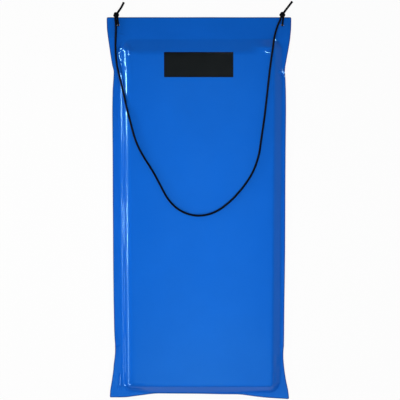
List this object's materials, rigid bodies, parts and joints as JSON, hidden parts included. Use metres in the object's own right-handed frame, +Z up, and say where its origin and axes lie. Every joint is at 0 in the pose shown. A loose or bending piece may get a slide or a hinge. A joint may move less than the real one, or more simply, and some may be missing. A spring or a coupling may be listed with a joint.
{
  "type": "foam snow toboggan",
  "caption": "Flat foam slab in a glossy blue welded vinyl cover, with a blank black label and a black braided rope loop knotted through the front corners, for sliding on snow.",
  "frame": {"origin": "on the floor under the middle of the cover's outline", "axes": "+Z up, +Y along the toboggan towards the rope end, +X across it to the right of someone who looks along +Y"},
  "size_m": [0.4575, 0.9915, 0.0551],
  "materials": {
    "vinyl_blue": "glossy saturated blue vinyl film",
    "foam_white": "closed-cell polyethylene foam, white",
    "label_black": "satin black printed film, blank",
    "rope_black": "black braided polypropylene cord"
  },
  "bodies": {
    "root": {"cover_top": "vinyl_blue", "cover_bottom": "vinyl_blue", "foam_core": "foam_white", "label": "label_black", "pull_rope": "rope_black", "knot_left": "rope_black", "knot_right": "rope_black", "rope_loop_left": "rope_black", "rope_loop_right": "rope_black", "rope_tail_left": "rope_black", "rope_tail_right": "rope_black"}
  },
  "joints": []
}
